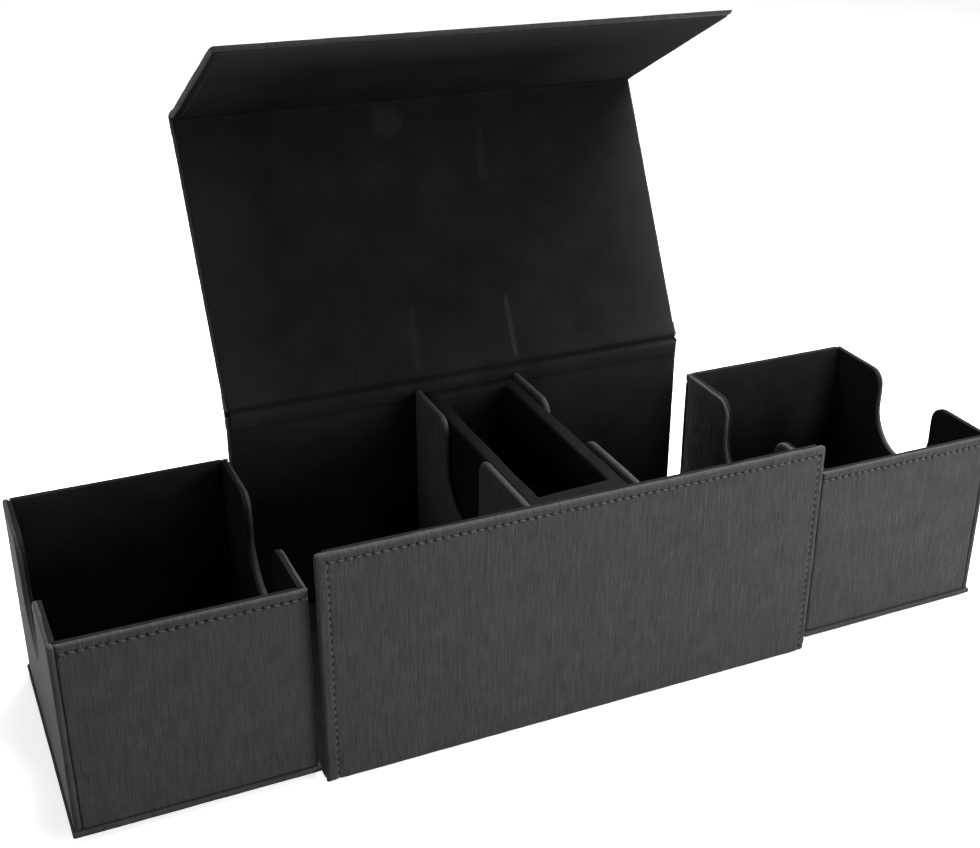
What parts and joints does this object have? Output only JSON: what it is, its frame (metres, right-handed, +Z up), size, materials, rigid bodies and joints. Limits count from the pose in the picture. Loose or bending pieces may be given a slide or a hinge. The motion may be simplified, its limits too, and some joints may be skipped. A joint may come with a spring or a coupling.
{
  "type": "playing card box",
  "caption": "Leatherette playing card box: open-ended case with a drawer at each end, dice tray between partitions, and a hinged lid with a folding magnetic front flap.",
  "frame": {"origin": "centre of the case's underside, on the surface that the box stands on", "axes": "+Z up, +X along the case from the left drawer to the right drawer, +Y from the front panel to the lid's hinge"},
  "size_m": [0.3737, 0.1682, 0.2391],
  "materials": {
    "leatherette": "charcoal imitation leather with a fine vertical brushed grain, matt",
    "suede": "black suede lining with a short nap",
    "magnet": "nickel-plated disc"
  },
  "bodies": {
    "case": {"case_base_board": "leatherette", "case_floor_lining": "suede", "case_front_panel": "leatherette", "case_front_lining": "suede", "case_back_panel": "leatherette", "case_back_lining": "suede", "left_partition": "leatherette", "right_partition": "leatherette", "case_left_magnet": "magnet", "case_right_magnet": "magnet"},
    "lid": {"lid_board": "leatherette", "lid_lining": "suede", "lid_hinge_strip": "leatherette", "lid_fold_strip": "leatherette"},
    "flap": {"flap_board": "leatherette", "flap_lining": "suede", "flap_left_magnet": "magnet", "flap_right_magnet": "magnet"},
    "left_drawer": {"left_drawer_base": "leatherette", "left_drawer_front_wall": "leatherette", "left_drawer_back_wall": "leatherette", "left_drawer_outer_end": "leatherette", "left_drawer_inner_end": "leatherette", "left_drawer_floor_lining": "suede", "left_drawer_front_lining": "suede", "left_drawer_back_lining": "suede", "left_drawer_outer_lining": "suede", "left_drawer_inner_lining": "suede"},
    "right_drawer": {"right_drawer_base": "leatherette", "right_drawer_front_wall": "leatherette", "right_drawer_back_wall": "leatherette", "right_drawer_outer_end": "leatherette", "right_drawer_inner_end": "leatherette", "right_drawer_floor_lining": "suede", "right_drawer_front_lining": "suede", "right_drawer_back_lining": "suede", "right_drawer_outer_lining": "suede", "right_drawer_inner_lining": "suede"},
    "dice_tray": {"tray_floor": "suede", "tray_left_wall": "suede", "tray_right_wall": "suede", "tray_front_wall": "suede", "tray_back_wall": "suede"}
  },
  "joints": [
    {"name": "lid_hinge", "type": "hinge", "parent": "case", "child": "lid", "pos_m": [0, 0.0559, 0.0939], "axis": [-1, 0, 0], "range_deg": [-117.5, 62.5]},
    {"name": "flap_fold", "type": "hinge", "parent": "lid", "child": "flap", "pos_m": [0, 0.10914, 0.19617], "axis": [-1, 0, 0], "range_deg": [0, 90]},
    {"name": "left_drawer_slide", "type": "slide", "parent": "case", "child": "left_drawer", "axis": [1, 0, 0], "range_m": [0, 0.077]},
    {"name": "right_drawer_slide", "type": "slide", "parent": "case", "child": "right_drawer", "axis": [-1, 0, 0], "range_m": [0, 0.0797]},
    {"name": "tray_lift", "type": "slide", "parent": "case", "child": "dice_tray", "axis": [0, 0, 1], "range_m": [0, 0.095]}
  ]
}
